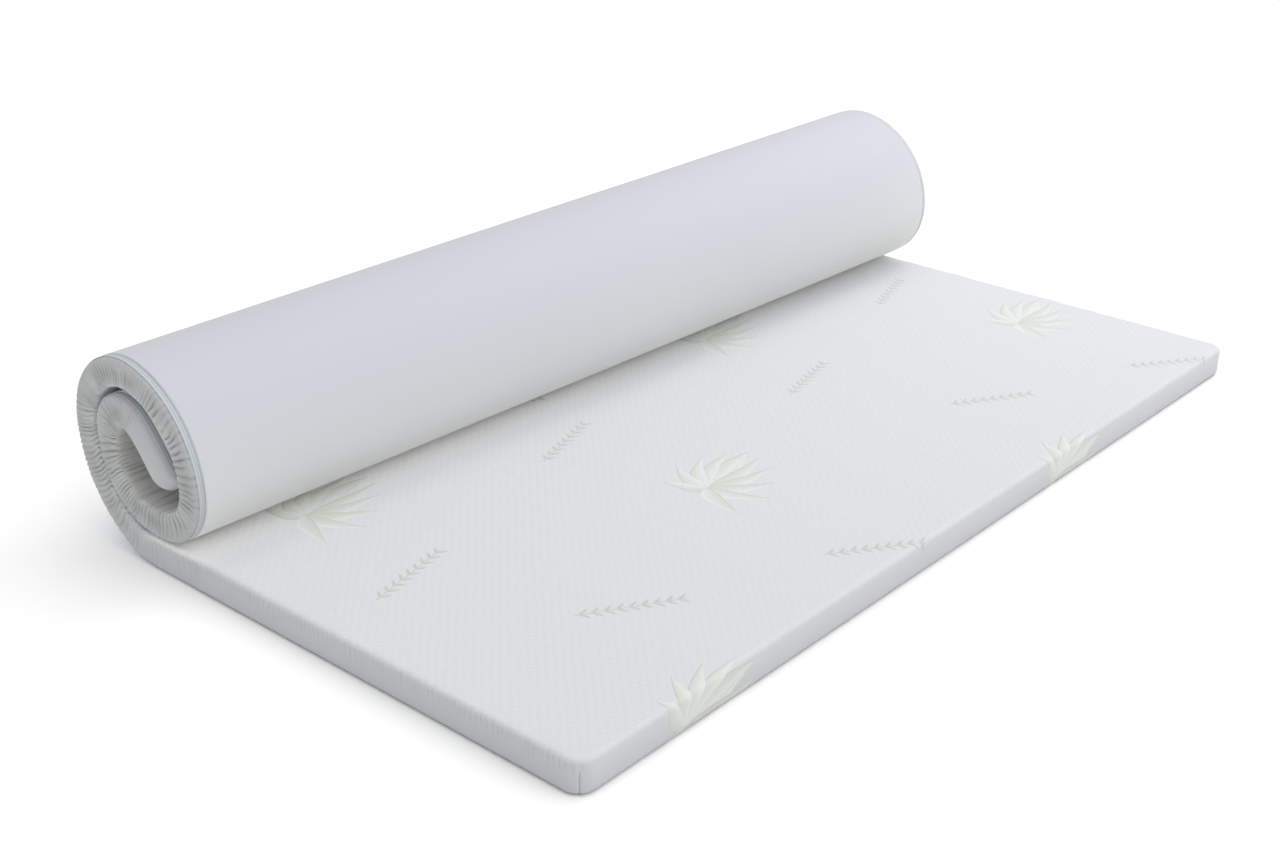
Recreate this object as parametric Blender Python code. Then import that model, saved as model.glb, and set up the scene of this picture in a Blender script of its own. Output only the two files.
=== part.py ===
"""Mattress topper, rolled up from one end and left lying on its own flat part.

X runs across the topper, along the roll's axis. Y runs from the flat end (-Y) to
the roll (+Y). Z is up, and the base cloth of the flat part lies on Z = 0. Each piece
is shaped lying flat, and then wound: its Y becomes the distance along the spiral.
"""
import math

import bmesh
import bpy
import numpy as np

NAME = "mattress_topper"

# Driving dimensions, in metres.
WIDTH = 1.800         # across, along the roll's axis
LENGTH = 2.000        # laid flat, along the middle of the thickness
THICK = 0.053         # knit cover, filling and base cloth together
BASE_CLOTH = 0.0012   # thickness of the base cloth
TAPE = 0.0010         # thickness of the edge tape
TAPE_REACH = 0.008    # how far the tape lies in over the underside
GAP = 0.00035         # between two pieces that touch
CORNER = 0.045        # corner radius, seen from above
CORNER_STEPS = 3
TOP_EDGE = 0.010      # rounding where the knit top turns down into its border
TOP_STEPS = 3
BASE_EDGE = 0.008     # rounding under the border: knit above, tape below
BASE_STEPS = 2
PLEAT = 0.018         # from one gather of the border to the next
RUFFLE = 0.060        # how far in from a rolled end the gathers reach
FLAT_STEP = 0.145     # spacing of the cross-sections where nothing bends
EASE = 0.024          # half the distance over which one bend passes into the next
PRESS_EASE = 0.010    # the same, for the thickness
FINE = 0.001          # step along the winding when it is summed up

# The winding, one row for each stretch of the middle line, from the flat end to the
# end hidden in the roll. The roll is a little looser and lies nearer the flat end at
# the +X side, so each run changes evenly from one side to the other. The last stretch
# takes what is left of the length. Pressed is the thickness there, as a share of THICK:
# the roll squeezes its filling.
# stretch, run at -X (m), run at +X (m), turn (degrees), pressed, depth of the border's
# gathers (m), depth of the creases (m)
WINDING = [
    ("flat",      0.860, 0.813,   0.0, 1.00, 0.0000, 0.0000),
    ("lift",      0.054, 0.050,  30.5, 0.96, 0.0015, 0.0000),
    ("far_low",   0.193, 0.218,  64.0, 0.90, 0.0035, 0.0000),
    ("far_high",  0.179, 0.195,  98.0, 0.88, 0.0035, 0.0005),
    ("near_high", 0.203, 0.212,  79.0, 0.86, 0.0040, 0.0005),
    ("near_low",  0.116, 0.150,  91.0, 0.86, 0.0040, 0.0015),
    ("on_slab",   0.024, 0.024,   1.0, 0.86, 0.0040, 0.0015),
    ("inner_low", 0.118, 0.078,  72.0, 0.86, 0.0035, 0.0020),
    ("inner_up",  0.050, 0.084,  20.0, 0.88, 0.0035, 0.0020),
    ("fold",      0.095, 0.100, 118.5, 1.00, 0.0040, 0.0015),
    ("tongue",    None,  None,   35.0, 1.00, 0.0010, 0.0000),
]

# Marks on the faces of the underside.
BARE, ON_TAPE, ON_BASE = 0, 1, 2

# Cloth colours: base colour, roughness.
KNIT = ((0.83, 0.85, 0.85), 0.90)
SMOOTH_CLOTH = ((0.80, 0.83, 0.87), 0.80)
TAPE_CLOTH = ((0.68, 0.74, 0.75), 0.75)


def clear_scene():
    for item in list(bpy.data.objects):
        bpy.data.objects.remove(item, do_unlink=True)


class Winding:
    """The wound middle surface of the topper. Its straight lines from side to side, the
    rulings, are told apart by the distance along the middle of the width. They are found
    by summing short steps along the -X side and along the +X side."""

    def __init__(self):
        _, lefts, rights, turns, pressed, self.gathers, self.creases = zip(*WINDING)
        sides = [np.concatenate([[0.0], np.cumsum(runs[:-1]), [LENGTH]])
                 for runs in (lefts, rights)]
        self.ends = (sides[0] + sides[1]) / 2
        self.middles = (self.ends[1:] + self.ends[:-1]) / 2
        self.ruling = np.linspace(0.0, LENGTH, round(LENGTH / FINE) + 1)
        self.heading = self.eased(np.concatenate([[0.0], np.cumsum(np.radians(turns))]))
        edges = np.stack([self.ends[:-1] + PRESS_EASE, self.ends[1:] - PRESS_EASE], axis=1)
        self.pressed = np.interp(self.ruling, edges.ravel(), np.repeat(pressed, 2))
        middle = (self.heading[1:] + self.heading[:-1]) / 2
        self.along = [np.interp(self.ruling, self.ends, ends) for ends in sides]
        self.y = [self.summed(np.cos(middle) * np.diff(along)) for along in self.along]
        self.z = [self.summed(np.sin(middle) * np.diff(along)) + THICK / 2
                  for along in self.along]

    def eased(self, turned):
        """Heading at each step: the mean of the plain ramps over EASE on both sides."""
        reach = round(EASE / FINE)
        wide = np.arange(-reach, len(self.ruling) + reach) * FINE
        ramps = np.interp(wide, self.ends, turned)
        return np.convolve(ramps, np.ones(2 * reach + 1) / (2 * reach + 1), "valid")

    @staticmethod
    def summed(steps):
        return np.concatenate([[0.0], np.cumsum(steps)])

    def place(self, point):
        """Winds a point of the flat topper: its Y is the distance along the topper."""
        share = point.x / WIDTH + 0.5
        along, y, z = (left + (right - left) * share
                       for left, right in (self.along, self.y, self.z))
        heading, pressed, y, z = (np.interp(point.y, along, values)
                                  for values in (self.heading, self.pressed, y, z))
        off = (point.z - THICK / 2) * pressed
        point.y = y - off * math.sin(heading)
        point.z = z + off * math.cos(heading)

    def line(self, ruling):
        """Where a ruling crosses the -X side and the +X side of the flat topper."""
        return [np.interp(ruling, self.ruling, along) for along in self.along]

    def depths(self, ruling):
        """Depths of the gathers and of the creases at a ruling."""
        return (np.interp(ruling, self.middles, self.gathers),
                np.interp(ruling, self.middles, self.creases))

    def sections(self):
        """Rulings to cut along: sparse where flat, two to a pleat where wound."""
        flat_end = self.ends[1] - EASE
        wound = LENGTH - CORNER / 3 - flat_end
        sparse = round(flat_end / FLAT_STEP)
        close = round(wound / (PLEAT / 2))
        return ([flat_end * i / sparse for i in range(1, sparse)]
                + [flat_end + wound * i / close for i in range(close + 1)])


def flat_body():
    """The filled body lying flat: a box with rounded corners and rounded edges."""
    low = BASE_CLOTH + GAP
    bm = bmesh.new()
    bmesh.ops.create_cube(bm, size=1.0)
    bmesh.ops.scale(bm, vec=(WIDTH, LENGTH, THICK - low), verts=bm.verts)
    bmesh.ops.translate(bm, vec=(0.0, LENGTH / 2, (THICK + low) / 2), verts=bm.verts)
    upright = [e for e in bm.edges if abs(e.verts[0].co.z - e.verts[1].co.z) > THICK / 2]
    bmesh.ops.bevel(bm, geom=upright, offset=CORNER, segments=CORNER_STEPS,
                    profile=0.5, affect="EDGES")
    for level, radius, steps in ((THICK, TOP_EDGE, TOP_STEPS), (low, BASE_EDGE, BASE_STEPS)):
        rim = [e for e in bm.edges if all(abs(v.co.z - level) < GAP / 2 for v in e.verts)]
        bmesh.ops.bevel(bm, geom=rim, offset=radius, segments=steps,
                        profile=0.5, affect="EDGES")
    bm.normal_update()
    return bm


def underside(body):
    """A copy of the body, its faces marked for the cloth that will lie over them."""
    bm = body.copy()
    for face in bm.faces:
        dips = face.normal.z < -math.sin(math.radians(45.0))
        face.material_index = ON_TAPE if dips else BARE
    level = min(bm.faces, key=lambda face: face.normal.z)
    level.material_index = ON_BASE
    strip = bmesh.ops.inset_region(bm, faces=[level], thickness=TAPE_REACH,
                                   use_even_offset=True)["faces"]
    for face in strip:
        face.material_index = ON_TAPE
    return bm


def laid_over(marked, mark, thickness):
    """A sheet over the faces that carry the mark, a gap away from them all round."""
    bm = marked.copy()
    others = [face for face in bm.faces if face.material_index != mark]
    bmesh.ops.delete(bm, geom=others, context="FACES")
    rim = bmesh.ops.inset_region(bm, faces=bm.faces[:], use_boundary=True,
                                 use_even_offset=True, thickness=GAP / 2)["faces"]
    bmesh.ops.delete(bm, geom=rim, context="FACES")
    bm.normal_update()
    for vert in bm.verts:
        vert.co += vert.normal * vert.calc_shell_factor() * GAP
    bmesh.ops.solidify(bm, geom=bm.faces[:], thickness=-thickness)
    bmesh.ops.recalc_face_normals(bm, faces=bm.faces)
    for face in bm.faces:
        face.material_index = 0
    return bm


def cut(bm, spot, normal):
    bmesh.ops.bisect_plane(bm, geom=bm.verts[:] + bm.edges[:] + bm.faces[:], dist=1e-6,
                           plane_co=spot, plane_no=normal)


def cut_to_bend(bm, lines):
    """Cuts the flat piece along each ruling, so that it can bend there."""
    for left, right in lines:
        cut(bm, (0.0, (left + right) / 2, 0.0), (left - right, WIDTH, 0.0))


def cut_for_gathers(bm):
    """Cuts the body halfway up its border, and where the gathers run out on the top."""
    middle = (BASE_CLOTH + GAP + BASE_EDGE + THICK - TOP_EDGE) / 2
    cut(bm, (0.0, 0.0, middle), (0.0, 0.0, 1.0))
    for side in (-1, 1):
        cut(bm, (side * (WIDTH / 2 - RUFFLE), 0.0, 0.0), (1.0, 0.0, 0.0))


def gather(bm, winding, rulings):
    """Draws in every second ruling: pleats down the border, creases in the knit."""
    border_foot = BASE_CLOTH + GAP + BASE_EDGE
    for order, ruling in enumerate(rulings):
        depth, crease = winding.depths(ruling)
        left, right = winding.line(ruling)
        uneven = 0.75 + 0.25 * math.sin(1.7 * order) * math.cos(0.6 * order)
        if order % 2 == 0 or depth == 0.0:
            continue
        for vert in bm.verts:
            along = left + (right - left) * (vert.co.x / WIDTH + 0.5)
            if abs(vert.co.y - along) > GAP / 2 or vert.co.z < border_foot + GAP:
                continue
            inset = WIDTH / 2 - abs(vert.co.x)
            fade = max(0.0, min(1.0, (RUFFLE - inset) / (RUFFLE - TOP_EDGE)))
            lift = max(0.0, (vert.co.z - (THICK - TOP_EDGE)) / TOP_EDGE)
            vert.co.x -= math.copysign(depth * uneven * fade * (1.0 - 0.6 * lift), vert.co.x)
            vert.co.z -= uneven * lift * max(crease, depth * fade)


def cloth_material(name, look):
    colour, roughness = look
    material = bpy.data.materials.new(name)
    material.use_nodes = True
    shader = material.node_tree.nodes["Principled BSDF"]
    shader.inputs["Base Color"].default_value = (*colour, 1.0)
    shader.inputs["Roughness"].default_value = roughness
    shader.inputs["Metallic"].default_value = 0.0
    return material


def finish(bm, name, look, winding, collection):
    """Winds the piece, and adds it to the collection as an object."""
    for vert in bm.verts:
        winding.place(vert.co)
    mesh = bpy.data.meshes.new(name)
    bm.to_mesh(mesh)
    bm.free()
    mesh.materials.append(cloth_material(name, look))
    piece = bpy.data.objects.new(name, mesh)
    collection.objects.link(piece)
    return piece


def centre(pieces):
    """Moves the pieces so that the origin is under the middle of the whole topper."""
    reach = [vert.co.y for piece in pieces for vert in piece.data.vertices]
    middle = (min(reach) + max(reach)) / 2
    for piece in pieces:
        for vert in piece.data.vertices:
            vert.co.y -= middle


def build():
    clear_scene()
    collection = bpy.data.collections.new(NAME)
    bpy.context.scene.collection.children.link(collection)
    winding = Winding()
    rulings = winding.sections()

    body = flat_body()
    marked = underside(body)
    base = laid_over(marked, ON_BASE, BASE_CLOTH)
    tape = laid_over(marked, ON_TAPE, TAPE)
    marked.free()
    cut_for_gathers(body)
    for piece in (body, base, tape):
        cut_to_bend(piece, [winding.line(ruling) for ruling in rulings])
    gather(body, winding, rulings)

    pieces = [finish(body, "filled_body", KNIT, winding, collection),
              finish(base, "base_cloth", SMOOTH_CLOTH, winding, collection),
              finish(tape, "edge_tape", TAPE_CLOTH, winding, collection)]
    centre(pieces)


build()
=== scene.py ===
# A mattress topper, rolled up from one end: knit cover over a soft filling, smooth base cloth, edge tape.
import math
from types import SimpleNamespace

import bpy
import numpy as np
from mathutils import Matrix, Vector


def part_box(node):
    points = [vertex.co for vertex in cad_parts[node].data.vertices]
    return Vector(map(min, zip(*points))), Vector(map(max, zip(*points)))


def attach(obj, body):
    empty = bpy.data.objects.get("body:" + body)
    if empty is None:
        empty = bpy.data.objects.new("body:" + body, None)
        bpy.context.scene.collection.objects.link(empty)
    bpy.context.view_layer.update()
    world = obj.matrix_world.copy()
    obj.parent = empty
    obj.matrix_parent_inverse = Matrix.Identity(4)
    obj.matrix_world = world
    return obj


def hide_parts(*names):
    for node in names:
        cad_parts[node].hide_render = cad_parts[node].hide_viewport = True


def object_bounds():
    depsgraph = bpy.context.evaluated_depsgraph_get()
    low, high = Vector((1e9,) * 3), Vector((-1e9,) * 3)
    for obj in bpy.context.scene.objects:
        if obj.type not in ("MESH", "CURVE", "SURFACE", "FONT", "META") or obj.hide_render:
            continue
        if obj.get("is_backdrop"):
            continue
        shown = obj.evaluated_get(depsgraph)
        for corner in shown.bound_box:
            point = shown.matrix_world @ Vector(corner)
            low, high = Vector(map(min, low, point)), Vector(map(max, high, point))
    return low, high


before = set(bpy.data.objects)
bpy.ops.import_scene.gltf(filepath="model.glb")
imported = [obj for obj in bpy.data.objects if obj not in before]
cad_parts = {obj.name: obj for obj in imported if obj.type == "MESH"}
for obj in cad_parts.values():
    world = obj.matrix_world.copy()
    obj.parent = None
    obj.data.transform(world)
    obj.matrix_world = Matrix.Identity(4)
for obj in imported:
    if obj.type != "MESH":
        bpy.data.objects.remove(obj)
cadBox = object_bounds()
print("frame loaded")

# all lengths in metres; the winding's middle surface is that of the frame's solids, except that its fold
# turns further and its tongue is straighter
topper = {"width": 1.800, "length": 2.000, "thick": 0.053, "corner": 0.029, "topEdge": 0.008,
          "baseEdge": 0.008, "baseCloth": 0.0012, "gap": 0.00035,
          "ease": 0.024, "pressEase": 0.010, "fineStep": 0.001}  # easing of the turns and of the pressing

# stretch, run at -X, run at +X, turn in degrees, share of the thickness, depth and pitch of
# the border's pleats, and depth of the wrinkles across the knit
windingRows = [
    ("flat",     0.860, 0.813,   0.0, 1.00, 0.0000, 0.0100, 0.0000),
    ("lift",     0.054, 0.050,  30.5, 0.96, 0.0018, 0.0110, 0.0000),
    ("farLow",   0.193, 0.218,  64.0, 0.90, 0.0040, 0.0094, 0.0004),
    ("farHigh",  0.179, 0.195,  98.0, 0.88, 0.0036, 0.0066, 0.0006),
    ("nearHigh", 0.203, 0.212,  79.0, 0.86, 0.0046, 0.0104, 0.0008),
    ("nearLow",  0.116, 0.150,  91.0, 0.86, 0.0052, 0.0112, 0.0022),
    ("onSlab",   0.024, 0.024,   1.0, 0.86, 0.0044, 0.0074, 0.0034),
    ("innerLow", 0.118, 0.078,  72.0, 0.86, 0.0044, 0.0076, 0.0040),
    ("innerUp",  0.050, 0.084,  20.0, 0.88, 0.0044, 0.0106, 0.0042),
    ("fold",     0.095, 0.100, 130.0, 1.00, 0.0040, 0.0072, 0.0026),
    ("tongue",   None,  None,   12.0, 1.00, 0.0005, 0.0046, 0.0003),
]


# running totals, from zero
def summed(parts):
    return np.concatenate([[0.0], np.cumsum(parts)])


# for each ruling: the heading is the sum of the turns, eased over a short reach, and the place of the
# middle line on both sides is the sum of steps along that heading
def windingTables():
    names, lefts, rights, turns, pressed, pleats, pitches, creases = zip(*windingRows)
    sides = [np.concatenate([summed(runs[:-1]), [topper["length"]]]) for runs in (lefts, rights)]
    ends = (sides[0] + sides[1]) / 2
    middles = (ends[1:] + ends[:-1]) / 2
    ruling = np.linspace(0.0, topper["length"], round(topper["length"] / topper["fineStep"]) + 1)
    along = [np.interp(ruling, ends, side) for side in sides]
    reach = round(topper["ease"] / topper["fineStep"])
    wide = np.arange(-reach, len(ruling) + reach) * topper["fineStep"]
    soFar = np.interp(wide, ends, summed(np.radians(turns)))
    heading = np.convolve(soFar, np.ones(2 * reach + 1) / (2 * reach + 1), "valid")
    halfway = (heading[1:] + heading[:-1]) / 2
    pressEnds = np.stack([ends[:-1] + topper["pressEase"], ends[1:] - topper["pressEase"]], axis=1)
    return {"ruling": ruling, "heading": heading, "along": along, "middles": middles, "pitches": pitches,
            "endOf": dict(zip(names, ends[1:])),
            "pressed": np.interp(ruling, pressEnds.ravel(), np.repeat(pressed, 2)),
            "y": [summed(np.cos(halfway) * np.diff(side)) for side in along],
            "z": [summed(np.sin(halfway) * np.diff(side)) + topper["thick"] / 2 for side in along],
            "pleats": np.interp(ruling, middles, pleats), "creases": np.interp(ruling, middles, creases)}


winding = windingTables()
endOf = winding["endOf"]
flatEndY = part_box("filled_body")[0][1]


def atRuling(name, ruling):
    return np.interp(ruling, winding["ruling"], winding[name])


# value between the -X side and the +X side, linear across the width
def across(name, ruling, x):
    left, right = (np.interp(ruling, winding["ruling"], side) for side in winding[name])
    return left + (right - left) * (x / topper["width"] + 0.5)


# place of a point: middle line at its ruling, plus its height above the middle along the normal
def wound(x, ruling, height):
    heading = atRuling("heading", ruling)
    past = ruling - np.clip(ruling, 0.0, topper["length"])
    off = (height - topper["thick"] / 2) * atRuling("pressed", ruling)
    y = across("y", ruling, x) + past * np.cos(heading) - off * np.sin(heading) + flatEndY
    z = across("z", ruling, x) + past * np.sin(heading) + off * np.cos(heading)
    return np.stack([x, y, z], axis=-1)


# smooth noise from -1 to 1: random values on a lattice, eased between neighbours
def noise(x, y, sizeX, sizeY, seed):
    values = np.random.default_rng(seed).uniform(-1.0, 1.0, (256, 64))
    px, py = x / sizeX, y / sizeY
    ix, iy = np.floor(px).astype(int), np.floor(py).astype(int)
    fx, fy = px - ix, py - iy
    fx, fy = fx * fx * (3 - 2 * fx), fy * fy * (3 - 2 * fy)
    corner = lambda i, j: values[(ix + i) % 256, (iy + j) % 64]
    return ((corner(0, 0) * (1 - fx) + corner(1, 0) * fx) * (1 - fy)
            + (corner(0, 1) * (1 - fx) + corner(1, 1) * fx) * fy)


# 0 at low, 1 at high, eased at both; it falls where low is the larger
def ramp(value, low, high):
    share = np.clip((value - low) / (high - low), 0.0, 1.0)
    return share * share * (3 - 2 * share)


# a bell round zero
def bell(value, width):
    return np.exp(-(value / width) ** 2)


# even steps from start to end, each no longer than size
def steps(start, end, size):
    return np.linspace(start, end, max(1, math.ceil((end - start) / size)) + 1)


# runs that share their end points, as one
def joined(*runs):
    return np.concatenate([runs[0]] + [run[1:] for run in runs[1:]])


def addPiece(name, points, faces, material, node, uv, marks):
    mesh = bpy.data.meshes.new(name)
    mesh.from_pydata(points.reshape(-1, 3), [], faces)
    mesh.materials.append(material)
    mesh.polygons.foreach_set("use_smooth", np.ones(len(mesh.polygons), dtype=bool))
    order = np.empty(len(mesh.loops), dtype=np.int32)
    mesh.loops.foreach_get("vertex_index", order)
    mesh.uv_layers.new(name="cloth").data.foreach_set("uv", uv.reshape(-1, 2)[order].ravel())
    for mark, values in marks.items():
        mesh.attributes.new(mark, "FLOAT", "POINT").data.foreach_set("value", values.ravel())
    mesh.update()
    piece = bpy.data.objects.new(name, mesh)
    bpy.context.scene.collection.objects.link(piece)
    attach(piece, "root")
    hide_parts(node)
    return piece


# quads of a grid whose points lie row by row
def gridFaces(rows, columns, first=0, flip=False):
    i, j = np.meshgrid(np.arange(rows - 1), np.arange(columns - 1), indexing="ij")
    a = first + i * columns + j
    quads = np.stack([a, a + 1, a + columns + 1, a + columns], axis=-1).reshape(-1, 4)
    return quads[:, ::-1] if flip else quads


# rounded plan of a sheet: a and b are flat coordinates that run on past the core rectangle.
# Past it, the larger overshoot is the distance from the core, and their ratio the turn round the corner.
def roundedPlan(a, b):
    coreX = topper["width"] / 2 - topper["corner"]
    low, high = topper["corner"], topper["length"] - topper["corner"]
    overX = np.maximum(np.abs(a) - coreX, 0.0)
    overY = np.maximum(np.maximum(low - b, b - high), 0.0)
    reach = np.maximum(overX, overY)
    safe = np.maximum(reach, 1e-9)
    turn = np.where(overX >= overY, math.pi / 4 * overY / safe, math.pi / 2 - math.pi / 4 * overX / safe)
    signY = np.where(b < topper["length"] / 2, -1.0, 1.0)
    return {"coreX": np.clip(a, -coreX, coreX), "coreY": np.clip(b, low, high), "reach": reach,
            "outX": np.cos(turn) * np.sign(a), "outY": np.sin(turn) * signY, "turn": turn}


class Number:
    # a number socket of a material; each sign adds a Math node
    def __init__(self, cloth, socket):
        self.cloth, self.socket = cloth, socket

    def __add__(self, other): return self.cloth.maths("ADD", self, other)
    def __radd__(self, other): return self.cloth.maths("ADD", other, self)
    def __sub__(self, other): return self.cloth.maths("SUBTRACT", self, other)
    def __rsub__(self, other): return self.cloth.maths("SUBTRACT", other, self)
    def __mul__(self, other): return self.cloth.maths("MULTIPLY", self, other)
    def __rmul__(self, other): return self.cloth.maths("MULTIPLY", other, self)
    def __truediv__(self, other): return self.cloth.maths("DIVIDE", self, other)
    def __rtruediv__(self, other): return self.cloth.maths("DIVIDE", other, self)
    def __pow__(self, other): return self.cloth.maths("POWER", self, other)
    def size(self): return self.cloth.maths("ABSOLUTE", self)
    def whole(self): return self.cloth.maths("FLOOR", self)
    def rest(self): return self.cloth.maths("FRACT", self)
    def sine(self): return self.cloth.maths("SINE", self)
    def atLeast(self, other): return self.cloth.maths("MAXIMUM", self, other)

    # 0 below low, 1 above high
    def between(self, low, high):
        return self.cloth.node("ShaderNodeMapRange", {"clamp": True, "interpolation_type": "SMOOTHSTEP"},
                               {"Value": self, "From Min": low, "From Max": high})


class ClothMaterial:
    def __init__(self, name, fixed):
        self.material = bpy.data.materials.new(name)
        self.material.use_nodes = True
        self.tree = self.material.node_tree
        self.shader = self.tree.nodes["Principled BSDF"]
        for socket, value in fixed.items():
            self.shader.inputs[socket].default_value = value

    def node(self, kind, settings, inputs, output=0):
        made = self.tree.nodes.new(kind)
        for key, value in settings.items():
            setattr(made, key, value)
        for key, value in inputs.items():
            self.feed(made.inputs[key], value)
        return Number(self, made.outputs[output])

    def feed(self, socket, value):
        if isinstance(value, Number):
            self.tree.links.new(value.socket, socket)
        else:
            socket.default_value = value

    def maths(self, operation, first, second=0.0):
        return self.node("ShaderNodeMath", {"operation": operation}, {0: first, 1: second})

    def mixColour(self, share, low, high):
        return self.node("ShaderNodeMix", {"data_type": "RGBA"}, {0: share, 6: low, 7: high}, 2)

    def mark(self, name):
        return self.node("ShaderNodeAttribute", {"attribute_name": name}, {}, "Fac")

    # both coordinates of the cloth before it was rolled
    def clothPlace(self):
        uv = self.node("ShaderNodeUVMap", {"uv_map": "cloth"}, {})
        split = self.node("ShaderNodeSeparateXYZ", {}, {0: uv})
        return split, Number(self, split.socket.node.outputs[1])

    def noise(self, scale, detail=2.0, onCloth=False):
        place = (self.node("ShaderNodeUVMap", {"uv_map": "cloth"}, {}) if onCloth
                 else self.node("ShaderNodeTexCoord", {}, {}, "Object"))
        return self.node("ShaderNodeTexNoise", {}, {"Vector": place, "Scale": scale, "Detail": detail})

    def relief(self, height, distance, strength):
        bump = self.node("ShaderNodeBump", {}, {"Height": height, "Distance": distance, "Strength": strength})
        self.feed(self.shader.inputs["Normal"], bump)

    def colour(self, value):
        self.feed(self.shader.inputs["Base Color"], value)


# knit cover: colours, among them painted shade and painted light, cells of the knit, repeat of the printed rosettes,
# and the sprigs' measures
knit = {"base": (0.618, 0.633, 0.652, 1.0), "hollow": (0.598, 0.614, 0.635, 1.0),
        "border": (0.525, 0.543, 0.557, 1.0), "borderLowShade": (0.445, 0.455, 0.47, 1.0),
        "foldShade": (0.17, 0.17, 0.14, 1.0), "shadedCavity": (0.53, 0.535, 0.51, 1.0),
        "paintedLightUnderRoll": (0.93, 0.93, 0.91, 1.0), "paintedLightStretch": (0.70, 0.80),  # painted light: the paler colour under the roll, and the stretch it covers
        "leaf": (0.50, 0.55, 0.42, 1.0), "leafLine": (0.33, 0.38, 0.25, 1.0), "leafLight": (0.80, 0.81, 0.79, 1.0),
        "leafShare": 0.46, "lineShare": 0.42, "lightShare": 0.40,
        "cellWide": 0.0118, "cellDeep": 0.0098, "cellTurn": 45.0, "cellRelief": 0.0007, "reliefShare": 0.62,
        "gatherScale": 190.0, "weaveScale": 700.0, "seamLine": (0.0002, 0.0009), "seamShare": 0.5,
        "everyX": 0.96, "everyY": 0.39, "atX": 0.255, "atY": -0.04,
        "sprigLong": 0.162, "sprigLeaf": 0.014, "sprigPitch": 0.018, "sprigHalf": 0.0042, "sprigSlant": 0.9}

# leaves of a rosette from the back to the front: degrees, length, half width, bend
rosetteLeaves = [(4, 0.150, 0.0150, 0.16), (24, 0.155, 0.0160, -0.22), (-16, 0.140, 0.0150, 0.34),
                 (48, 0.122, 0.0160, -0.46), (-40, 0.118, 0.0165, 0.52), (74, 0.098, 0.0165, -0.62),
                 (-68, 0.100, 0.0170, 0.60), (104, 0.080, 0.0160, -0.66), (-100, 0.092, 0.0165, 0.64),
                 (142, 0.066, 0.0150, -0.58), (-138, 0.088, 0.0165, 0.52)]
# sprigs between the rosettes, repeated in every other row: across, along, degrees
sprigs = [(-0.212, 0.045, -34.0), (-0.580, 0.200, -31.0), (-0.722, 0.492, 14.0), (-0.250, 0.630, 18.0)]


# the same place, measured along a line at the given angle and beside it
def turned(u, v, degrees):
    c, s = math.cos(math.radians(degrees)), math.sin(math.radians(degrees))
    return u * c + v * s, v * c - u * s


# a leaf: its half width grows from the stem and runs out in a point, its middle line bends sideways
def drawLeaf(cloth, u, v, degrees, length, width, bend):
    out, side = turned(u, v, degrees)
    side = side - out * out * (bend / length)
    share = cloth.node("ShaderNodeClamp", {}, {0: out / length})
    half = (share ** 0.75 * math.pi).sine() * width
    inside = (half - side.size()).between(0.0, 0.0010)
    shade = (side / half.atLeast(0.0001)).between(-1.0, 1.0)
    line = 1.0 - (half - side.size() - 0.0010).between(0.0003, 0.0016)
    return inside, shade, line


# a sprig: a thin stem with leaflets that repeat along it and slant outwards on both sides
def drawSprig(cloth, u, v, degrees):
    long, pitch = knit["sprigLong"], knit["sprigPitch"]
    out, side = turned(u, v, degrees)
    side = side.size()
    slant = out + long / 2 - side * knit["sprigSlant"]
    cell = (slant / pitch).rest() * pitch - pitch / 2
    share = cloth.node("ShaderNodeClamp", {}, {0: side / knit["sprigLeaf"]})
    half = (share ** 0.6 * math.pi).sine() * knit["sprigHalf"]
    leaflet = (half - cell.size()).between(0.0, 0.0008)
    stem = 1.0 - side.between(0.0006, 0.0012)
    kept = slant.between(-0.0003, 0.0) * (1.0 - slant.between(long - 0.0003, long))
    return leaflet.atLeast(stem) * kept


# place inside the repeat, measured from its middle: rosettes stand in staggered rows, sprigs in every other row
def latticePlace(u, v, atX, atY, staggered):
    everyX, everyY = knit["everyX"], knit["everyY"] * (1 if staggered else 2)
    down = (v - atY) / everyY + 0.5
    wide = (u - atX) / everyX + 0.5
    if staggered:
        wide = wide + down.whole() * 0.5
    return wide.rest() * everyX - everyX / 2, down.rest() * everyY - everyY / 2


# knit cells: staggered columns of short pillows, laid diagonally on the cloth and worn unevenly
def drawCells(cloth, u, v):
    c, s = math.cos(math.radians(knit["cellTurn"])), math.sin(math.radians(knit["cellTurn"]))
    wide = (u * c - v * s) / knit["cellWide"]
    deep = (u * s + v * c) / knit["cellDeep"] + wide.whole() * 0.5
    pillow = (wide.rest() * math.pi).sine() ** 0.9 * (deep.rest() * math.pi).sine() ** 1.6
    return pillow * (cloth.noise(30.0, 4.0, onCloth=True).between(0.30, 0.65) * 0.6 + 0.4)


# rosettes and sprigs, each leaf laid over the ones behind it: tint, line and light
def drawPlants(cloth, u, v):
    tint, line, light = 0.0, 0.0, 0.0
    place = latticePlace(u, v, knit["atX"], knit["atY"], True)
    for leaf in rosetteLeaves:
        inside, shade, edge = drawLeaf(cloth, *place, *leaf)
        out = 1.0 - inside
        tint = tint * out + inside * (shade * 0.8 + 0.2)
        line = line * out + inside * edge * (shade * 0.7 + 0.3)
        light = light * out + inside * (1.0 - shade)
    for atX, atY, degrees in sprigs:
        line = drawSprig(cloth, *latticePlace(u, v, atX, atY, False), degrees).atLeast(line)
    return tint, line, light


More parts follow.
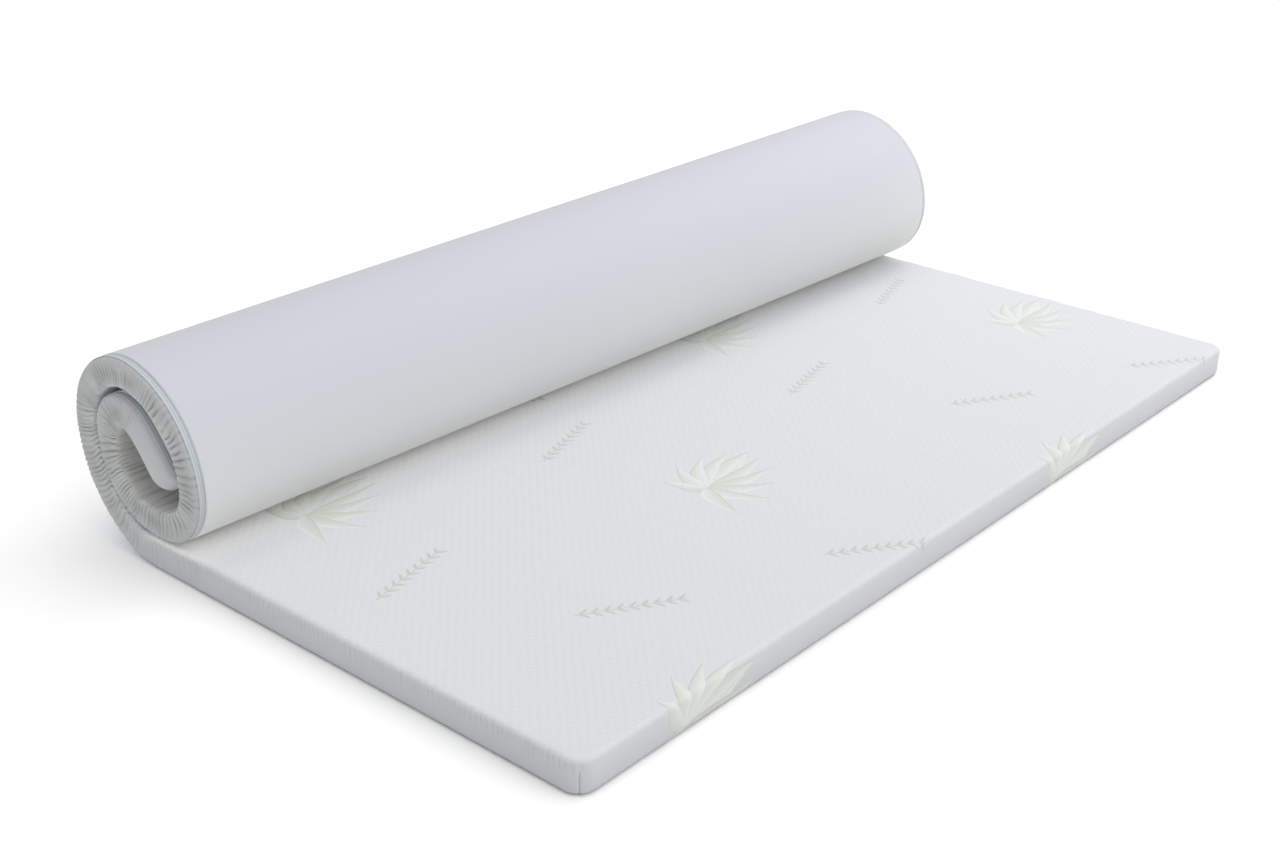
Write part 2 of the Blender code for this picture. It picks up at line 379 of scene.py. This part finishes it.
def knitMaterial():
    cloth = ClothMaterial("knitCloth", {"Roughness": 0.9, "Sheen Weight": 0.2, "Sheen Roughness": 0.6,
                                        "Specular IOR Level": 0.2})
    border, low, side, shadedCavity, paintedLightUnderRoll, fold, seamWay, around = (
        cloth.mark(name) for name in ("border", "low", "side", "shadedCavity", "paintedLightUnderRoll", "fold", "seamWay", "around"))
    u, v = cloth.clothPlace()
    pillow = drawCells(cloth, u, v)
    tint, line, light = drawPlants(cloth, u, v)

    # painted shade: the knit's cells are a little darker in their hollows
    tone = cloth.mixColour(pillow, knit["hollow"], knit["base"])
    # painted light: paler under the roll, where the contact shadow falls
    tone = cloth.mixColour(paintedLightUnderRoll, tone, knit["paintedLightUnderRoll"])
    # painted shade: darker and warmer inside the roll's hollow
    tone = cloth.mixColour(shadedCavity, tone, knit["shadedCavity"])
    # painted shade: the border is a darker grey than the top, and darker still towards its foot
    tone = cloth.mixColour(border, tone, cloth.mixColour(low, knit["border"], knit["borderLowShade"]))
    tone = cloth.mixColour(light * knit["lightShare"], tone, knit["leafLight"])
    tone = cloth.mixColour(tint * knit["leafShare"], tone, knit["leaf"])
    tone = cloth.mixColour(line * knit["lineShare"], tone, knit["leafLine"])
    # painted shade in the folds and over the rolled border
    tone = cloth.mixColour(fold, tone, knit["foldShade"])
    seam = 1.0 - seamWay.between(*knit["seamLine"])
    cloth.colour(cloth.mixColour(seam * knit["seamShare"], tone, knit["foldShade"]))

    # relief: pillows and leaves on top, a fine weave, and short upright gathers on the border that
    # fade where a corner turns
    plain = 1.0 - border.atLeast(shadedCavity * 0.8)
    turning = side * 2.0 - 1.0
    gathers = cloth.node("ShaderNodeTexNoise", {"noise_dimensions": "1D"},
                         {"W": around, "Scale": knit["gatherScale"], "Detail": 2.0})
    onTop = pillow * (1.0 - tint * 0.7) + (tint - line * 0.5) * 0.9
    height = onTop * plain + gathers * border * turning * turning * (side + 0.15)
    cloth.relief(height + cloth.noise(knit["weaveScale"]) * 0.3, knit["cellRelief"], knit["reliefShare"])
    return cloth.material


# how the cover puckers: the pitch of the pleats wanders by spread, within stretches of spreadRun
puckers = {"spread": 0.36, "spreadRun": 0.026, "sharpness": 0.60, "lean": 0.010, "bow": -0.020,
           "smallPleats": 0.32, "dents": 0.45, "scallops": 0.25, "overTop": 0.035, "overInside": 0.15,
           "creasePitch": 0.0125, "creaseSharpness": 0.9, "gatherPitch": 0.0078, "gatherDepth": 0.0015,
           "waveDepth": 0.0009, "waveReach": 0.008, "sideHollow": 0.0016, "seamDepth": 0.0010,
           "seamWidth": 0.0016, "fullShade": 0.0042, "tuck": 0.008, "fill": 0.85}
# the cover's mesh: steps along the roll and the flat part, down the border, round it, and across the top
grid = {"roll": 0.0010, "flat": 0.0026, "border": 0.0044, "edge": 0.008, "rim": 0.016, "core": 0.045}
rollFrom = endOf["flat"] - 0.03


# profile of the cover's edge, by the distance run outwards over the cloth from the core:
# flat top, top rounding, border, rounding under it, and a strip of the underside
def edgeProfile():
    corner, top, low = topper["corner"], topper["topEdge"], topper["baseEdge"]
    level = topper["baseCloth"] + topper["gap"]
    quarter = np.linspace(0.0, math.pi / 2, 17)
    sine, cosine = np.sin(quarter), np.cos(quarter)
    out = np.concatenate([[0.0], corner - top + top * sine, corner - low + low * cosine,
                          [corner - low - puckers["tuck"]]])
    high = np.concatenate([[topper["thick"]], topper["thick"] - top + top * cosine,
                           level + low - low * sine, [level]])
    run = summed(np.hypot(np.diff(out), np.diff(high)))
    return {"run": run, "out": out, "high": high,
            "outward": np.concatenate([[0.0], sine, cosine, [0.0]]),
            "upward": np.concatenate([[1.0], cosine, -sine, [-1.0]]),
            "crease": (corner - top) + math.pi / 4 * top, "base": run[-2] - math.pi / 4 * low}


# depth of pleats, 0 on a ridge and 1 in a valley: a rounded wave whose pitch wanders about the given one
def pleatWave(distance, pitch, seed, sharpness=puckers["sharpness"]):
    fine = np.arange(-0.4, topper["length"] + 0.4, 0.0005)
    local = pitch(fine) * (1.0 + puckers["spread"] * noise(fine, fine * 0, puckers["spreadRun"], 1.0, seed))
    phase = summed(np.pi * np.diff(fine) / local[1:])
    return 1.0 - np.abs(np.sin(np.interp(distance, fine, phase))) ** sharpness


# pitch of the border's pleats along the cloth, times a share
def rowPitch(share):
    return lambda run: share * np.interp(run, winding["middles"], winding["pitches"])


# the cover's grid: a runs across and b along, as flat distances that go on past the core rectangle
def coverGrid(edge):
    near, far = topper["corner"], topper["length"] - topper["corner"]
    coreX = topper["width"] / 2 - topper["corner"]
    fineFrom, fineTo = edge["crease"] - 0.008, edge["base"] + 0.006
    outward = joined(steps(0.0, fineFrom, grid["edge"]), steps(fineFrom, fineTo, grid["border"]),
                     steps(fineTo, edge["run"][-1], grid["edge"]))
    inward = joined(steps(0.0, coreX - 0.11, grid["core"]), steps(coreX - 0.11, coreX - 0.03, grid["rim"]),
                    steps(coreX - 0.03, coreX, grid["edge"]))
    a = joined(inward, coreX + outward)
    b = joined((near - outward)[::-1], steps(near, rollFrom, grid["flat"]), steps(rollFrom, far, grid["roll"]),
               far + outward)
    return np.meshgrid(np.concatenate([-a[:0:-1], a]), b)


# where each point of the cover lies: its ruling and distance along the cloth, how far in from the
# crease, how far up the border (0 at the tape, 1 at the crease), and shares from 0 to 1 of each region
def coverPlace(a, b, edge):
    near, far = topper["corner"], topper["length"] - topper["corner"]
    coreX = topper["width"] / 2 - topper["corner"]
    plan = roundedPlan(a, b)
    out, high, outward, upward = (np.interp(plan["reach"], edge["run"], edge[key])
                                  for key in ("out", "high", "outward", "upward"))
    x = plan["coreX"] + plan["outX"] * out
    ruling = plan["coreY"] + plan["outY"] * out
    fromEnds = np.minimum(b - near, far - b)
    inside = np.maximum(np.minimum(coreX - np.abs(a), fromEnds), 0.0)
    fromCrease = edge["crease"] - plan["reach"] + inside
    up = np.clip((edge["base"] - plan["reach"]) / (edge["base"] - edge["crease"]), -0.3, 1.3)
    atCore = plan["reach"] <= 0
    toSide = np.where(atCore, (coreX - np.abs(a) < fromEnds).astype(float), np.cos(plan["turn"]) ** 2)
    along, right = across("along", ruling, x), (a > 0).astype(float)
    return SimpleNamespace(
        a=a, b=b, plan=plan, x=x, ruling=ruling, high=high, outward=outward, upward=upward, along=along,
        fromCrease=fromCrease, up=up, level=np.clip(up, 0, 1), atCore=atCore, toSide=toSide, right=right,
        onTop=(fromCrease > 0).astype(float),
        onBorder=ramp(plan["reach"], edge["crease"] - 0.002, edge["crease"] + 0.003),
        flat=ramp(ruling, rollFrom + 0.05, rollFrom - 0.05),
        inner=ramp(ruling, endOf["nearLow"] - 0.03, endOf["nearLow"] + 0.03),
        around=np.where(toSide > 0.5, along + 2.3 * right, x + 7.0))


# pleats of the rolled border: a wave and a smaller one of half its pitch that lean and bow, die out
# over the top, vary in strength, and have broad dents across them
def borderPleats(at, strand, depth):
    lean = puckers["lean"] * noise(at.along, at.right * 7.0, 0.045, 1.0, 11) * (at.up - 0.5) \
        + puckers["bow"] * (at.up - 0.5) ** 2 * ramp(at.ruling, endOf["farHigh"] + 0.02, endOf["farLow"]) \
        + 0.0016 * noise(at.along + at.right, at.up, 0.016, 0.30, 12)
    main = pleatWave(strand + lean * (1 - at.onTop), rowPitch(1.0), 21)
    small = pleatWave(strand - lean * 0.5 + 0.1, rowPitch(0.5), 22)
    strength = 0.68 + 0.62 * noise(at.along + at.right, at.up * (1 - at.onTop), 0.011, 0.55, 31)
    overTop = puckers["overTop"] + (puckers["overInside"] - puckers["overTop"]) * at.inner
    shape = np.where(at.onTop > 0, (1 - 0.35 * at.inner) * (1 - np.clip(at.fromCrease / overTop, 0, 1)) ** 1.5,
                     0.36 + 0.64 * at.level)
    pleats = main * np.clip(strength, 0.08, 1.25) \
        + puckers["smallPleats"] * small * (0.5 + 0.5 * noise(at.along, at.up, 0.02, 0.3, 33))
    dents = puckers["dents"] * (1 - at.onTop) * (0.5 + 0.5 * noise(strand, at.up, 0.030, 0.55, 34)) \
        * np.sin(np.pi * at.level)
    return depth * shape * pleats + depth * dents


# small scallops where the border is sewn to the tape
def tapeScallops(at, strand):
    return (1.0 - pleatWave(strand + 0.05, rowPitch(0.8), 41)) * ramp(at.up, 0.40, 0.05) * ramp(at.up, -0.3, 0.0)


# wrinkles that run along the roll on its inner face, wander, and come and go
def innerWrinkles(at):
    wander = 0.016 * noise(at.x, at.along, 0.16, 0.05, 51) + 0.004 * noise(at.x, at.along, 0.05, 0.02, 54)
    wave = pleatWave(at.along + wander, lambda run: puckers["creasePitch"], 52, puckers["creaseSharpness"])
    return wave * np.clip(0.5 + 0.7 * noise(at.x + 3.0, at.along, 0.12, 0.014, 53), 0, 1.2) \
        * at.onTop * ramp(at.fromCrease, -0.002, 0.02)


# short gathers below the flat part's crease
def sideGathers(at):
    wave = pleatWave(at.along + 0.004 * noise(at.along, at.up, 0.02, 0.5, 63),
                     lambda run: puckers["gatherPitch"], 64, 0.8)
    return at.flat * at.toSide * bell(at.up - 0.80, 0.22) * (1 - at.onTop) * wave


# how far the flat part's edge stands out: a wavy crease, the gathers under it, and a slight hollow
def flatEdge(at, gathers):
    wave = noise(at.around, at.around * 0, 0.034, 1.0, 61) + 0.6 * noise(at.around, at.around * 0, 0.013, 1.0, 62)
    wave = at.flat * puckers["waveDepth"] * wave * bell(at.fromCrease, puckers["waveReach"])
    gathered = puckers["gatherDepth"] * gathers * (0.6 + 0.4 * noise(at.around, at.up, 0.03, 1.0, 65))
    hollow = at.flat * (1 - at.onTop) * puckers["sideHollow"] * np.sin(np.pi * at.level) \
        * (0.5 + 0.5 * noise(at.around, at.up, 0.09, 0.9, 66))
    return wave - gathered - hollow


# distance from the seam down each of the flat end's two corners, large elsewhere
def seamDistance(at):
    turn = at.plan["turn"]
    atCorner = np.minimum(np.abs(np.cos(turn)), np.abs(np.sin(turn))) > 0.01
    atCorner = atCorner & (at.b < topper["length"] / 2) & ~at.atCore
    return np.where(atCorner, np.abs(turn - math.pi / 4) * topper["corner"], 0.02)


# the cover is a grid wound up with the winding and pushed in along its normal by its puckers;
# what the underside leaves open is closed by one face a row, and one at each end
def makeKnitCover():
    edge = edgeProfile()
    at = coverPlace(*coverGrid(edge), edge)
    plan, length = at.plan, topper["length"]
    depth, crease = atRuling("pleats", at.ruling), atRuling("creases", at.ruling)
    strand = at.along + 0.23 * at.right  # the two sides have pleats of their own
    pleats, wrinkles = borderPleats(at, strand, depth), innerWrinkles(at)
    gathers, seamWay = sideGathers(at), seamDistance(at)
    push = at.toSide * (depth * puckers["scallops"] * tapeScallops(at, strand) - pleats) - crease * wrinkles \
        + flatEdge(at, gathers) - puckers["seamDepth"] * bell(seamWay, puckers["seamWidth"]) * ramp(at.up, 1.0, 0.75)
    points = wound(at.x + plan["outX"] * at.outward * push, at.ruling + plan["outY"] * at.outward * push,
                   at.high + at.upward * push)

    rows, columns = points.shape[:2]
    index = np.arange(rows * columns).reshape(rows, columns)
    strips = np.stack([index[1:-2, 0], index[2:-1, 0], index[2:-1, -1], index[1:-2, -1]], axis=1)[:, ::-1]
    startCap = np.concatenate([index[0], [index[1, -1], index[1, 0]]])[::-1]
    endCap = np.concatenate([index[-1][::-1], [index[-2, 0], index[-2, -1]]])[::-1]
    faces = gridFaces(rows, columns).tolist() + strips.tolist() + [startCap.tolist(), endCap.tolist()]
    uv = np.stack([at.a, across("along", np.clip(at.b, 0, length), plan["coreX"]) + np.minimum(at.b, 0)
                   + np.maximum(at.b - length, 0)], axis=-1)

    # painted shade, carried by the mark fold: darker in the pleats' valleys, the wrinkles and the gathers, and over
    # the rolled part of the border
    shade = 0.72 * np.clip(pleats / puckers["fullShade"], 0, 1) ** 1.2 * at.toSide \
        * (0.35 + 0.65 * ramp(at.fromCrease, 0.03, -0.004)) \
        + 0.35 * np.clip(crease * wrinkles / 0.0030, 0, 1) + 0.20 * gathers \
        + 0.10 * (1 - at.onTop) * at.toSide * ramp(at.ruling, endOf["flat"], endOf["lift"] + 0.05)
    # painted paler under the roll, in place of light: the contact shadow would be too dark there without it
    paintedLightUnderRoll = ramp(at.along, *knit["paintedLightStretch"]) * (1 - ramp(at.ruling, endOf["flat"] - 0.02, endOf["flat"] + 0.03))
    # painted shade inside the roll's hollow: the inner turn, up to the end of innerUp
    shadedCavity = at.inner * (1 - ramp(at.ruling, endOf["innerUp"], endOf["innerUp"] + 0.03))
    marks = {"border": at.onBorder, "low": 1 - at.level, "side": at.toSide, "shadedCavity": shadedCavity,
             "paintedLightUnderRoll": paintedLightUnderRoll, "fold": np.clip(shade, 0, 0.75),
             "seamWay": seamWay + 0.02 * ramp(at.up, 0.70, 0.90), "around": at.around}
    piece = addPiece("knit_cover", points, faces, knitMaterial(), "filled_body", uv, marks)
    print("knit cover:", rows, "by", columns, "points")


makeKnitCover()

# base cloth: its own cool colour, painted warmer towards the slab and paler under the overhang in place of
# light thrown back there; the stretches are distances along the cloth
baseCloth = {"colour": (0.510, 0.525, 0.567, 1.0), "warm": (0.655, 0.665, 0.65, 1.0), "warmFrom": (1.40, 1.60),
             "paintedLightUnderRoll": (0.92, 0.92, 0.90, 1.0), "paintedLightStretch": (1.53, 1.61), "threads": 0.0011,
             "rollStep": 0.006, "flatStep": 0.05, "columnStep": 0.03, "edgeStep": 0.005,
             "bulge": 0.0006, "seamReach": 0.0082}


def baseClothMaterial():
    cloth = ClothMaterial("smoothCloth", {"Roughness": 0.75, "Sheen Weight": 0.15, "Sheen Roughness": 0.5,
                                          "Specular IOR Level": 0.3})
    u, v = cloth.clothPlace()
    # painted light thrown back from the slab: warmer and paler towards it
    towardsFold = (v + cloth.noise(2.0) * 0.06).between(*baseCloth["warmFrom"])
    tone = cloth.mixColour(towardsFold, baseCloth["colour"], baseCloth["warm"])
    # painted light: paler under the overhang
    cloth.colour(cloth.mixColour(v.between(*baseCloth["paintedLightStretch"]), tone, baseCloth["paintedLightUnderRoll"]))
    threads = math.pi / baseCloth["threads"]
    weave = (u * threads).sine().size() + (v * threads).sine().size()
    cloth.relief(weave * 0.15 + cloth.noise(60.0, 3.0) * 0.6, 0.0003, 0.4)
    return cloth.material


# the base cloth is a thin slab over the rounded plan, wound up under the cover, and a little uneven on the roll
def makeBaseCloth():
    corner, length, thick = topper["corner"], topper["length"], topper["baseCloth"]
    reach = corner - topper["baseEdge"] - baseCloth["seamReach"] - topper["gap"]
    coreX = topper["width"] / 2 - corner
    outward = steps(0.0, reach, baseCloth["edgeStep"])
    a = joined(steps(0.0, coreX, baseCloth["columnStep"]), coreX + outward)
    fineFrom = endOf["flat"] - 0.02
    b = joined((corner - outward)[::-1], steps(corner, fineFrom, baseCloth["flatStep"]),
               steps(fineFrom, length - corner, baseCloth["rollStep"]), length - corner + outward)
    plan = roundedPlan(*np.meshgrid(np.concatenate([-a[:0:-1], a]), b))
    x = plan["coreX"] + plan["outX"] * plan["reach"]
    ruling = plan["coreY"] + plan["outY"] * plan["reach"]
    along = across("along", ruling, x)
    rolled = ramp(ruling, endOf["flat"], endOf["lift"] + 0.05)
    bulge = baseCloth["bulge"] * rolled * (0.5 + 0.5 * noise(x + 3, along, 0.25, 0.06, 71))
    outer, inner = wound(x, ruling, -bulge), wound(x, ruling, thick - bulge * 0.9)

    rows, columns = x.shape
    count = rows * columns
    index = np.arange(count).reshape(rows, columns)
    rim = np.concatenate([index[0, :-1], index[:-1, -1], index[-1, :0:-1], index[:0:-1, 0]])
    after = np.roll(rim, -1)
    sides = np.stack([rim, after, after + count, rim + count], axis=1)
    faces = np.concatenate([gridFaces(rows, columns, 0, True), gridFaces(rows, columns, count), sides])
    uv = np.stack([x, along], axis=-1)
    piece = addPiece("base_sheet", np.stack([outer, inner]), faces.tolist(), baseClothMaterial(),
                     "base_cloth", np.stack([uv, uv]), {})
    print("base cloth:", rows, "by", columns, "points")


makeBaseCloth()

# edge tape: its grooves are places across it, from 0 at the base cloth to 1 on the rounding, and it
# fades into the base cloth over the stretch of X named fade
tape = {"colour": (0.475, 0.50, 0.53, 1.0), "groove": (0.15, 0.22, 0.24, 1.0), "stripe": (0.30, 0.40, 0.38, 1.0),
        "thick": 0.0010, "wrap": 14.0, "flatStep": 0.02, "rollStep": 0.004, "endStep": 0.04,
        "grooves": (0.16, 0.55), "grooveLines": (0.06, 0.14), "grooveWide": 0.055, "grooveDepth": 0.0004,
        "stitch": 0.0030, "rib": 0.0016, "fade": (0.3, 0.8)}


def tapeMaterial():
    cloth = ClothMaterial("tapeCloth", {"Roughness": 0.7, "Sheen Weight": 0.1, "Specular IOR Level": 0.35})
    u, v = cloth.clothPlace()
    stitch = (v * (math.pi / tape["stitch"])).sine().size().between(0.1, 0.5) * 0.4 + 0.6
    crisp, faint = (1.0 - (u - at).size().between(0.02, half)
                    for at, half in zip(tape["grooves"], tape["grooveLines"]))
    tone = cloth.mixColour(faint * 0.6, tape["colour"], tape["stripe"])
    tone = cloth.mixColour(crisp * stitch * 0.85, tone, tape["groove"])
    cloth.colour(cloth.mixColour(cloth.mark("covered"), tone, baseCloth["colour"]))
    rib = (v * (math.pi / tape["rib"])).sine().size()
    cloth.relief(rib * 0.5 - crisp * 0.8 - faint * 0.4, 0.0004, 0.6)
    return cloth.material


# once round the core rectangle: the nearest point of its rim, and the way out from it
def coreRim():
    corner, length = topper["corner"], topper["length"]
    coreX, fineFrom = topper["width"] / 2 - corner, endOf["flat"] - 0.02
    runs = joined(steps(corner, fineFrom, tape["flatStep"]), steps(fineFrom, length - corner, tape["rollStep"]))
    ends = steps(-coreX, coreX, tape["endStep"])
    arc = np.linspace(0.0, math.pi / 2, 13)[1:-1]

    def side(sign, y):
        return y * 0 + sign * coreX, y, y * 0 + sign, y * 0

    def end(sign, x):
        return x, x * 0 + (corner if sign < 0 else length - corner), x * 0, x * 0 + sign

    def turn(signX, signY, angle):
        return (angle * 0 + signX * coreX, angle * 0 + (corner if signY < 0 else length - corner),
                signX * np.cos(angle), signY * np.sin(angle))

    ring = [end(-1, ends), turn(1, -1, arc[::-1]), side(1, runs), turn(1, 1, arc),
            end(1, ends[::-1]), turn(-1, 1, arc[::-1]), side(-1, runs[::-1]), turn(-1, -1, arc)]
    return (np.concatenate(parts)[:, None] for parts in zip(*ring))


# the tape is a profile carried round the underside's rim: level beside the base cloth, then a part of
# the way up the rounding, thinner at its grooves, and closed on its inner face
def makeEdgeTape():
    corner, low = topper["corner"], topper["baseEdge"]
    level = topper["baseCloth"] + topper["gap"]
    reachIn, wrap = baseCloth["seamReach"], low * math.radians(tape["wrap"])
    share = np.linspace(0.0, 1.0, 15)
    run = share * (reachIn + wrap)
    angle = np.maximum(run - reachIn, 0.0) / low
    out = corner - low - reachIn + np.minimum(run, reachIn) + low * np.sin(angle)
    high = level + low - low * np.cos(angle)
    off = topper["gap"] + tape["thick"] - sum(tape["grooveDepth"] * bell(share - at, tape["grooveWide"])
                                              for at in tape["grooves"])
    outs, highs = (np.concatenate([outer, inner[::-1]]) for outer, inner in (
        (out + off * np.sin(angle), out + topper["gap"] * np.sin(angle)),
        (high - off * np.cos(angle), high - topper["gap"] * np.cos(angle))))
    rimX, rimY, outX, outY = coreRim()
    x = rimX + outX * outs
    points = wound(x, rimY + outY * outs, np.broadcast_to(highs, x.shape))

    rows, columns = x.shape
    a = np.arange(rows * columns).reshape(rows, columns)
    b = np.roll(a, -1, axis=0)
    faces = np.stack([a, b, np.roll(b, -1, axis=1), np.roll(a, -1, axis=1)], axis=-1).reshape(-1, 4)
    walked = summed(np.linalg.norm(np.diff(points[:, 0], axis=0), axis=1))
    uv = np.stack([np.broadcast_to(np.concatenate([share, share[::-1]]), x.shape),
                   np.broadcast_to(walked[:, None], x.shape)], axis=-1)
    piece = addPiece("tape_band", points, faces.tolist(), tapeMaterial(), "edge_tape", uv,
                     {"covered": ramp(x, *tape["fade"])})
    print("edge tape:", rows, "by", columns, "points")


makeEdgeTape()

# floor and sky
stage = {"floor": (0.98, 0.98, 0.98, 1.0), "floorLow": (0.9, 0.9, 0.9, 1.0), "half": 9.0, "drop": 0.0006,
         "sky": (1.0, 1.0, 1.0, 1.0), "skyStrength": 0.70}


def makeStage():
    floor = ClothMaterial("paleFloor", {"Roughness": 0.9, "Specular IOR Level": 0.1})
    floor.colour(floor.mixColour(floor.noise(0.8) * 0.1, stage["floor"], stage["floorLow"]))
    mesh = bpy.data.meshes.new("floor")
    half, z = stage["half"], -stage["drop"]
    mesh.from_pydata([(-half, -half, z), (half, -half, z), (half, half, z), (-half, half, z)], [], [(0, 1, 2, 3)])
    mesh.materials.append(floor.material)
    plane = bpy.data.objects.new("floor", mesh)
    bpy.context.scene.collection.objects.link(plane)
    plane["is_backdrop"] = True
    world = bpy.data.worlds.new("paleSky")
    world.use_nodes = True
    background = world.node_tree.nodes["Background"]
    background.inputs["Color"].default_value = stage["sky"]
    background.inputs["Strength"].default_value = stage["skyStrength"]
    bpy.context.scene.world = world
    bpy.context.scene.view_settings.view_transform = "Standard"  # whites stay white


# each sun: name, way it shines, strength, width of its disc in degrees, colour
suns = [("topSoft", (-0.10, 0.30, -1.0), 1.16, 80.0, (1.0, 1.0, 1.0)),
        ("nearSoft", (-0.42, 1.0, -0.16), 0.56, 70.0, (1.0, 0.995, 0.99))]
panel = {"place": (2.0, -0.30, 2.0), "target": (0.85, -0.35, 0.0), "size": 1.4, "power": 15.0}


def hangLight(name, kind, way, place=(0.0, 0.0, 0.0)):
    light = bpy.data.lights.new(name, kind)
    lamp = bpy.data.objects.new(name, light)
    lamp.matrix_world = Matrix.Translation(place) @ Vector(way).to_track_quat("-Z", "Y").to_matrix().to_4x4()
    bpy.context.scene.collection.objects.link(lamp)
    return light


def makeLights():
    for name, way, strength, width, colour in suns:
        sun = hangLight(name, "SUN", way)
        sun.energy, sun.angle, sun.color = strength, math.radians(width), colour
    soft = hangLight("farPanel", "AREA", Vector(panel["target"]) - Vector(panel["place"]), panel["place"])
    soft.size, soft.energy = panel["size"], panel["power"]


# view: place from the middle of the flat end's edge; yaw turns from +Y towards +X, pitch looks down,
# roll turns the frame
view = {"lens": 49.982, "place": (-2.18471, -1.17862, 1.30051), "yaw": 49.59079, "pitch": 24.74167, "roll": 0.85732}


def makeCamera():
    yaw, pitch, roll = (math.radians(view[key]) for key in ("yaw", "pitch", "roll"))
    ahead = Vector((math.sin(yaw) * math.cos(pitch), math.cos(yaw) * math.cos(pitch), -math.sin(pitch)))
    level = Vector((math.cos(yaw), -math.sin(yaw), 0.0))
    up = level.cross(ahead)
    right = level * math.cos(roll) + up * math.sin(roll)
    up = up * math.cos(roll) - level * math.sin(roll)
    data = bpy.data.cameras.new("camera")
    data.lens, data.sensor_width, data.clip_end = view["lens"], 36.0, 100.0
    camera = bpy.data.objects.new("camera", data)
    place = Vector(view["place"]) + Vector((0.0, flatEndY, 0.0))
    camera.matrix_world = Matrix.Translation(place) @ Matrix((right, up, -ahead)).transposed().to_4x4()
    bpy.context.scene.collection.objects.link(camera)
    bpy.context.scene.camera = camera


makeStage()
makeLights()
makeCamera()
print("stage, light and camera")

[[list(map(float, corner)) for corner in box] for box in (cadBox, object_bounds())]
